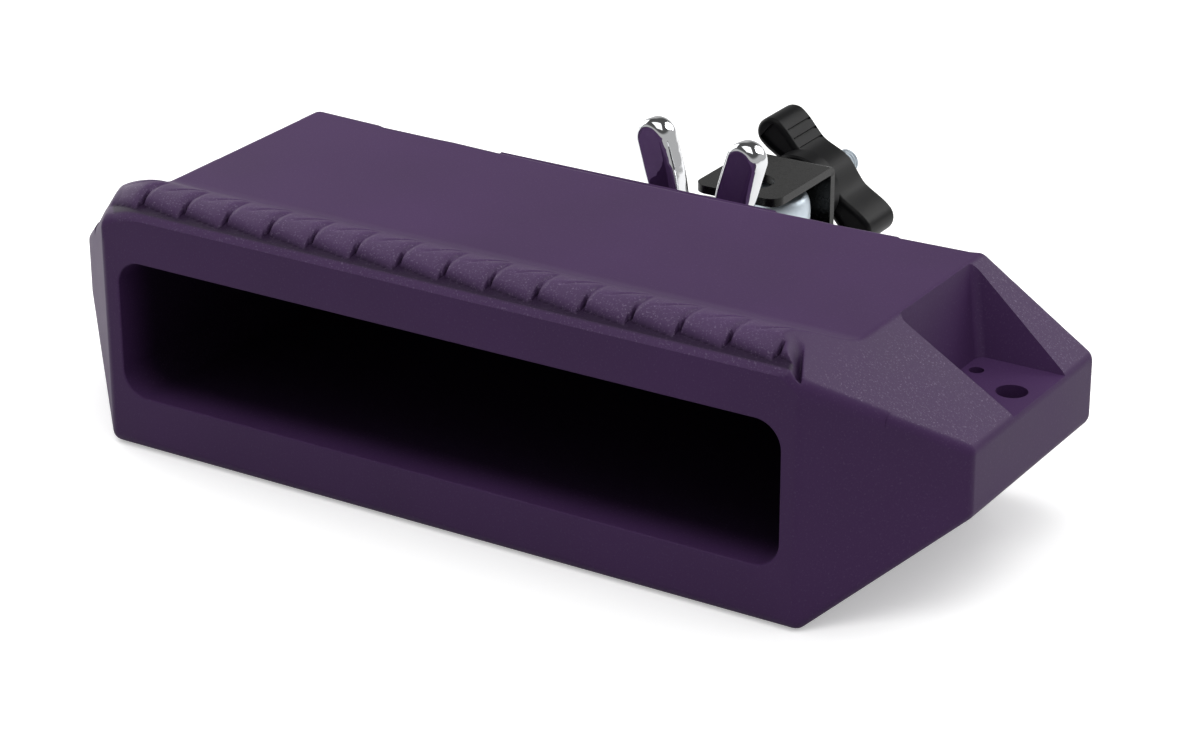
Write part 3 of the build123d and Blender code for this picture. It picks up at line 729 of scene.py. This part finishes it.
# ---------------------------------------------------------- swivel bolt stack
# Zinc-plated carriage bolt and washers, and a tall cast wing nut, polished and
# chrome plated, so that it mirrors the purple panel in front of it.
NUT_PLACE = (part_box("swivel_bolt")[0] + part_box("swivel_bolt")[1]) / 2
NUT_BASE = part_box("chrome_wing_nut")[0].z
NUT_TURN = radians(-7.3)
HUB_PROFILE = (  # radius and height in millimetres, as in every profile
    (0.0, 0.0), (8.5, 0.0), (8.5, 0.8), (8.3, 1.2),
    (7.3, 10.6), (6.7, 11.8), (6.0, 12.0), (0.0, 12.0),
)
BOLT_ROOM = ((0.0, -20.0), (4.02, -20.0), (4.02, 40.0), (0.0, 40.0))
WING_ROOT = (9.2 * MM, 5.4 * MM)
WING_TIP = (16.6 * MM, 28.8 * MM)
WING_HALF = 6.0 * MM
WING_NECK = 4.3 * MM
WING_SWELL = 0.65  # a wing has its full width from this share of its length
WING_SUNK = 2.0 * MM  # its root reaches this far into the hub
WING_ROUND = 3.1 * MM
WING_RIM = 2.3 * MM  # width of the rounded rim round each flat face
WING_HALF_THICK = 4.0 * MM
WING_STEPS = 14
WING_ARC_STEPS = 20
RIM_STEPS = 6
PLATE_ROUGH_SPREAD = 0.3  # share by which the roughness varies


def plated(name, code, grain_mm, rough, depth):
    """Plated metal: slightly uneven, so its reflections are broken up.

    The grain is drawn as coarse as it needs to be to show at this size.
    """
    material, tree = empty_material(name)
    place = add(tree, "ShaderNodeTexCoord").outputs["Object"]
    grit = add(tree, "ShaderNodeTexNoise", {
        "Scale": 1 / (grain_mm * MM), "Detail": 1.0}, {"Vector": place})
    bump = add(tree, "ShaderNodeBump", {"Strength": 0.3, "Distance": depth * MM}, {
        "Height": grit.outputs["Fac"]})
    uneven = add(tree, "ShaderNodeMapRange", {
        "To Min": rough * (1 - PLATE_ROUGH_SPREAD), "To Max": rough * (1 + PLATE_ROUGH_SPREAD)}, {
        0: grit.outputs["Fac"]})
    shader = add(tree, "ShaderNodeBsdfPrincipled", {
        "Base Color": linear(code), "Metallic": 1.0}, {
        "Roughness": uneven.outputs[0], "Normal": bump.outputs[0]})
    add(tree, "ShaderNodeOutputMaterial", None, {"Surface": shader.outputs[0]})
    return material


def stacked(name, outline, levels):
    """Closed shell of one outline at several heights, each drawn in by an inset."""
    outline = np.array(outline, float)
    before, after = np.roll(outline, 1, 0), np.roll(outline, -1, 0)
    along = after - before
    along /= np.linalg.norm(along, axis=1)[:, None]
    inward = np.stack([-along[:, 1], along[:, 0]], 1)
    count = len(outline)
    verts = []
    for height, inset in levels:
        verts += [(x, y, height) for x, y in outline + inward * inset]
    top = (len(levels) - 1) * count
    faces = [
        (low + i, low + (i + 1) % count, low + count + (i + 1) % count, low + count + i)
        for low in range(0, top, count)
        for i in range(count)
    ]
    faces += [tuple(reversed(range(count))), tuple(range(top, top + count))]
    return outwards(shell(name, verts, faces))


def turned(name, profile, sides=64):
    """Closed shell turned round Z from a profile of (radius, height) in millimetres."""
    angles = [2 * pi * i / sides for i in range(sides)]
    verts = [(r * MM * cos(a), r * MM * sin(a), z * MM) for a in angles for r, z in profile]
    count = len(profile)
    faces = []
    for i in range(sides):
        here, there = i * count, (i + 1) % sides * count
        for j in range(count):
            after = (j + 1) % count
            if profile[j][0] > 0 or profile[after][0] > 0:
                faces.append((here + j, there + j, there + after, here + after))
    return outwards(shell(name, verts, faces))


def round_levels(half, radius, inset):
    """Heights and insets of a rounded rim, from one flat face to the other."""
    curve = [pi / 2 * k / RIM_STEPS for k in range(RIM_STEPS + 1)]
    near = [(-half + radius * (1 - cos(a)), inset * (1 - sin(a))) for a in curve]
    return near + [(-height, inward) for height, inward in reversed(near)]


def wing_half(share):
    """Half width of a wing, from its root at 0 to its round tip at 1."""
    return WING_NECK + (WING_HALF - WING_NECK) * float(ramp(share, 0, WING_SWELL))


def cast_wing(side):
    """One wing, leaning outwards, with a half-round top and a broad rounded rim."""
    root, tip = Vector(WING_ROOT), Vector(WING_TIP)
    along = (tip - root).normalized()
    across = Vector((along.y, -along.x))
    low = root - along * WING_SUNK
    arc = [pi * k / WING_ARC_STEPS for k in range(WING_ARC_STEPS + 1)]
    outline = [tip + WING_HALF * (cos(a) * across + sin(a) * along) for a in arc]
    for share in [k / WING_STEPS for k in range(1, WING_STEPS + 1)]:
        outline.append(tip.lerp(low, share) - wing_half(1 - share) * across)
    for share in [k / WING_STEPS for k in range(WING_STEPS)]:
        outline.append(low.lerp(tip, share) + wing_half(share) * across)
    wing = stacked("wing", outline, round_levels(WING_HALF_THICK, WING_ROUND, WING_RIM))
    wing.data.transform(Matrix(((side, 0, 0), (0, 0, side), (0, 1, 0))).to_4x4())
    return outwards(wing)


zinc = plated("bright_zinc_plate", "#CBD5DD", grain_mm=1.6, rough=0.48, depth=0.02)
give_finish(["swivel_bolt", "flat_washer", "spring_washer", "clamp_washer", "nut_insert"], zinc)

wing_nut = turned("cast_wing_nut", HUB_PROFILE)
for side in (-1, 1):
    cut(wing_nut, cast_wing(side), "UNION", "MANIFOLD")
cut(wing_nut, turned("bore", BOLT_ROOM), "DIFFERENCE", "MANIFOLD")
wing_nut.data.transform(
    Matrix.Translation((NUT_PLACE.x, NUT_PLACE.y, NUT_BASE)) @ Matrix.Rotation(NUT_TURN, 4, "Z"))
chrome = plated("polished_chrome_plate", "#DCDDDF", grain_mm=3.5, rough=0.05, depth=0.35)
finish_mesh(wing_nut, chrome, sharp=40.0)
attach(wing_nut, "swivel_nut")
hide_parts("chrome_wing_nut")


# ------------------------------------------------------------------ eye bolt
# A zinc-plated eye bolt: a rounded forged ring that draws the rod back, and a
# stud rolled with a coarse thread.
EYE_LOW, EYE_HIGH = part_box("eye_bolt")
STUD_Z = (EYE_LOW.z + EYE_HIGH.z) / 2
RING_OUTER = 13.2  # millimetres, like the ring's three other sizes
RING_BORE = 6.5
RING_HALF_TALL = 6.1
RING_SQUARENESS = 0.8  # 1 gives an oval section, less a squarer one
RING_STEPS = 28
RING_SIDES = 80
RING_Y = EYE_LOW.y + RING_OUTER * MM
SHANK_PROFILE = ((0.0, 0.0), (3.9, 0.0), (3.9, 14.0), (0.0, 14.0))
SHANK_START = RING_Y + 8.0 * MM
THREAD_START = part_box("bracket")[1].y - 6.0 * MM
THREAD_LENGTH = EYE_HIGH.y - THREAD_START
THREAD_PITCH = 1.411 * MM
THREAD_MAJOR = 3.97 * MM
THREAD_ROOT = 3.25 * MM
THREAD_ROWS = 8.0  # rows of points in one pitch
THREAD_SIDES = 40
RIDGE_SHARE = 0.42  # share of the pitch over which a ridge rises
ALONG_Y = Matrix.Rotation(-pi / 2, 4, "X")  # lays a piece made along +Z along +Y


def forged_ring():
    """Full round ring, a little taller than the stud is thick."""
    middle = (RING_OUTER + RING_BORE) / 2
    half_wide = (RING_OUTER - RING_BORE) / 2
    section = []
    for k in range(RING_STEPS):
        across, up = cos(2 * pi * k / RING_STEPS), sin(2 * pi * k / RING_STEPS)
        wide = abs(across) ** RING_SQUARENESS * (1 if across > 0 else -1)
        tall = abs(up) ** RING_SQUARENESS * (1 if up > 0 else -1)
        section.append((middle + half_wide * wide, RING_HALF_TALL * tall))
    ring = turned("forged_eye_bolt", section, sides=RING_SIDES)
    ring.data.transform(Matrix.Translation((0, RING_Y, STUD_Z)))
    return ring


def thread_tree():
    """Geometry nodes: a rod whose radius follows a helical ridge along its length."""
    tree = bpy.data.node_groups.new("rolled_thread", "GeometryNodeTree")
    face = tree.interface
    face.new_socket("Geometry", in_out="OUTPUT", socket_type="NodeSocketGeometry")
    for name in ("Major Radius", "Root Radius", "Pitch", "Length"):
        face.new_socket(name, in_out="INPUT", socket_type="NodeSocketFloat")
    face.new_socket("Finish", in_out="INPUT", socket_type="NodeSocketMaterial")
    given = add(tree, "NodeGroupInput").outputs
    rows = add(tree, "ShaderNodeMath", {"operation": "DIVIDE"}, {
        0: given["Length"], 1: given["Pitch"]})
    rows = add(tree, "ShaderNodeMath", {"operation": "MULTIPLY", 1: THREAD_ROWS}, {
        0: rows.outputs[0]})
    rod = add(tree, "GeometryNodeMeshCylinder", {"Vertices": THREAD_SIDES}, {
        "Radius": given["Major Radius"], "Depth": given["Length"],
        "Side Segments": rows.outputs[0]})
    position = add(tree, "GeometryNodeInputPosition").outputs[0]
    place = add(tree, "ShaderNodeSeparateXYZ", None, {0: position})
    angle = add(tree, "ShaderNodeMath", {"operation": "ARCTAN2"}, {
        0: place.outputs["Y"], 1: place.outputs["X"]})
    turn = add(tree, "ShaderNodeMath", {"operation": "DIVIDE", 1: 2 * pi}, {0: angle.outputs[0]})
    climb = add(tree, "ShaderNodeMath", {"operation": "DIVIDE"}, {
        0: place.outputs["Z"], 1: given["Pitch"]})
    phase = add(tree, "ShaderNodeMath", {"operation": "SUBTRACT"}, {
        0: climb.outputs[0], 1: turn.outputs[0]})
    ridge = add(tree, "ShaderNodeMath", {"operation": "PINGPONG", 1: 0.5}, {0: phase.outputs[0]})
    ridge = add(tree, "ShaderNodeMapRange", {
        "interpolation_type": "SMOOTHSTEP", "From Max": RIDGE_SHARE}, {
        0: ridge.outputs[0], 3: given["Root Radius"], 4: given["Major Radius"]})
    share = add(tree, "ShaderNodeMath", {"operation": "DIVIDE"}, {
        0: ridge.outputs[0], 1: given["Major Radius"]})
    flat = add(tree, "ShaderNodeCombineXYZ", {2: 1.0}, {0: share.outputs[0], 1: share.outputs[0]})
    moved = add(tree, "ShaderNodeVectorMath", {"operation": "MULTIPLY"}, {
        0: position, 1: flat.outputs[0]})
    shaped = add(tree, "GeometryNodeSetPosition", None, {
        "Geometry": rod.outputs["Mesh"], "Position": moved.outputs[0]})
    real = add(tree, "GeometryNodeRealizeInstances", None, {0: shaped.outputs[0]})
    done = add(tree, "GeometryNodeSetMaterial", None, {
        "Geometry": real.outputs[0], "Material": given["Finish"]})
    add(tree, "NodeGroupOutput", None, {0: done.outputs[0]})
    return tree


def grown(name, tree, values):
    """A plain mesh made by a geometry nodes tree with its named inputs set."""
    piece = mesh_object(name, bpy.data.meshes.new(name))
    nodes = piece.modifiers.new(name, "NODES")
    nodes.node_group = tree
    for item in tree.interface.items_tree:
        if item.item_type == "SOCKET" and item.in_out == "INPUT" and item.name in values:
            nodes[item.identifier] = values[item.name]
    settle(piece)
    return piece


stud = grown("stud", thread_tree(), {
    "Major Radius": THREAD_MAJOR, "Root Radius": THREAD_ROOT, "Pitch": THREAD_PITCH,
    "Length": THREAD_LENGTH, "Finish": zinc})
stud.data.transform(Matrix.Translation((0, THREAD_START + THREAD_LENGTH / 2, STUD_Z)) @ ALONG_Y)
shank = turned("shank", SHANK_PROFILE, sides=40)
shank.data.transform(Matrix.Translation((0, SHANK_START, STUD_Z)) @ ALONG_Y)
eye = forged_ring()
cut(eye, outwards(shank), "UNION")
cut(eye, outwards(stud), "UNION")
finish_mesh(eye, zinc, sharp=40.0)
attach(eye, "eye")
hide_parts("eye_bolt")


# ---------------------------------------------------------------- nylon wing nut
# The rod clamp's wing nut: black glass-filled nylon moulded round a steel sleeve,
# with grip steps on the leading side of each wing and a sunk panel in its end.
NYLON_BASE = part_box("nut_insert")[0].y - 1.0 * MM
NYLON_LENGTH = 28.6 * MM
NYLON_TILT = radians(40)
BASE_PROFILE = (
    (0.0, 0.0), (11.4, 0.0), (12.0, 0.6), (12.0, 6.6),
    (11.6, 7.1), (6.4, 13.6), (5.3, 16.3), (0.0, 16.3),
)
STUD_ROOM = ((0.0, -5.0), (4.02, -5.0), (4.02, 40.0), (0.0, 40.0))
SLEEVE_ROOM = ((0.0, 1.0), (5.0, 1.0), (5.0, 21.0), (0.0, 21.0))
PADDLE_REACH = 25.2 * MM
PADDLE_TIP = 4.9 * MM
PADDLE_WAIST = 3.7 * MM
PADDLE_HUB = 5.7 * MM
PADDLE_HUB_RUN = 10.5 * MM  # the hub's swelling has died out at this distance
PADDLE_SWELL = (0.45, 0.5)  # shares of a wing between its waist and its full tip
PADDLE_DEPTH = 17.5 * MM
PADDLE_ROUND = 1.6 * MM
PADDLE_STEPS = 48
PADDLE_TIP_STEPS = 14
SUNK_SPAN = (9.0 * MM, 22.0 * MM)
SUNK_RIM = 1.6 * MM
SUNK_LEVELS = [(-2.0 * MM, 0.0), (1.2 * MM, 0.0)]
SUNK_STEPS = 14
GRIP_COUNT = 3
GRIP_STEP = (3.35 * MM, 0.49 * MM, 0.0)
GRIP_BAR = (0.75 * MM, 1.5 * MM, 14.6 * MM)
GRIP_START = (-17.1 * MM, -4.8 * MM, 20.3 * MM)


def paddle_half(w):
    """Half thickness of the wings at a distance from the stud's axis."""
    w = abs(w)
    hub = PADDLE_HUB - (PADDLE_HUB - PADDLE_WAIST) * float(ramp(w, 0, PADDLE_HUB_RUN))
    share = min(1.0, w / (PADDLE_REACH - PADDLE_TIP))
    body = PADDLE_WAIST + (PADDLE_TIP - PADDLE_WAIST) * float(ramp(share, *PADDLE_SWELL))
    return max(hub, body)


def paddle_outline():
    """Both wings' outline, anticlockwise, with round tips."""
    corner = PADDLE_REACH - PADDLE_TIP
    side = [corner - 2 * corner * k / PADDLE_STEPS for k in range(1, PADDLE_STEPS)]
    angles = [pi * k / PADDLE_TIP_STEPS - pi / 2 for k in range(PADDLE_TIP_STEPS + 1)]
    tip = [(PADDLE_TIP * cos(a), PADDLE_TIP * sin(a)) for a in angles]
    outline = [(corner + c, n) for c, n in tip]
    outline += [(w, paddle_half(w)) for w in side]
    outline += [(-corner - c, -n) for c, n in tip]
    outline += [(-w, -paddle_half(w)) for w in side]
    return outline


def sunk_panel(side):
    """What is cut from the end of one wing, inside a rim that follows its outline."""
    out = np.linspace(*SUNK_SPAN, SUNK_STEPS)
    edges = [(w, -1) for w in out] + [(w, 1) for w in reversed(out)]
    panel = [(side * w, side * edge * (paddle_half(w) - SUNK_RIM)) for w, edge in edges]
    sunk = stacked("sunk_panel", panel, SUNK_LEVELS)
    sunk.data.transform(Matrix.Translation((0, 0, NYLON_LENGTH - PADDLE_DEPTH)))
    return outwards(sunk)


def grip_tree():
    """Geometry nodes: a row of equal bars, which cut the grip steps."""
    tree = bpy.data.node_groups.new("grip_steps", "GeometryNodeTree")
    face = tree.interface
    face.new_socket("Geometry", in_out="OUTPUT", socket_type="NodeSocketGeometry")
    face.new_socket("Count", in_out="INPUT", socket_type="NodeSocketInt")
    for name in ("Start", "Step", "Bar"):
        face.new_socket(name, in_out="INPUT", socket_type="NodeSocketVector")
    face.new_socket("Finish", in_out="INPUT", socket_type="NodeSocketMaterial")
    given = add(tree, "NodeGroupInput").outputs
    row = add(tree, "GeometryNodeMeshLine", None, {
        "Count": given["Count"], "Start Location": given["Start"], "Offset": given["Step"]})
    bar = add(tree, "GeometryNodeMeshCube", None, {"Size": given["Bar"]})
    bars = add(tree, "GeometryNodeInstanceOnPoints", None, {
        "Points": row.outputs[0], "Instance": bar.outputs["Mesh"]})
    real = add(tree, "GeometryNodeRealizeInstances", None, {0: bars.outputs[0]})
    done = add(tree, "GeometryNodeSetMaterial", None, {
        "Geometry": real.outputs[0], "Material": given["Finish"]})
    add(tree, "NodeGroupOutput", None, {0: done.outputs[0]})
    return tree


nylon = moulded_plastic(
    "satin_black_nylon", "#0A0A0C", grain_mm=0.6, rough=0.40, depth=0.012, gloss=0.13)
paddle_levels = round_levels(PADDLE_DEPTH / 2, PADDLE_ROUND, PADDLE_ROUND)
nylon_nut = stacked("nylon_wing_nut", paddle_outline(), paddle_levels)
nylon_nut.data.transform(Matrix.Translation((0, 0, NYLON_LENGTH - PADDLE_DEPTH / 2)))
cut(nylon_nut, turned("nylon_base", BASE_PROFILE), "UNION")
for side in (-1, 1):
    cut(nylon_nut, sunk_panel(side))
grips = grip_tree()
for half_turn in (0, pi):
    bars = grown("grip_bars", grips, {
        "Count": GRIP_COUNT, "Start": GRIP_START, "Step": GRIP_STEP, "Bar": GRIP_BAR,
        "Finish": nylon})
    bars.data.transform(Matrix.Rotation(half_turn, 4, "Z"))
    cut(nylon_nut, bars)
cut(nylon_nut, turned("stud_room", STUD_ROOM))
cut(nylon_nut, turned("sleeve_room", SLEEVE_ROOM))
nylon_nut.data.transform(
    Matrix.Translation((0, NYLON_BASE, STUD_Z)) @ ALONG_Y @ Matrix.Rotation(NYLON_TILT, 4, "Z"))
finish_mesh(nylon_nut, nylon)
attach(nylon_nut, "clamp_nut")
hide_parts("clamp_wing_nut")
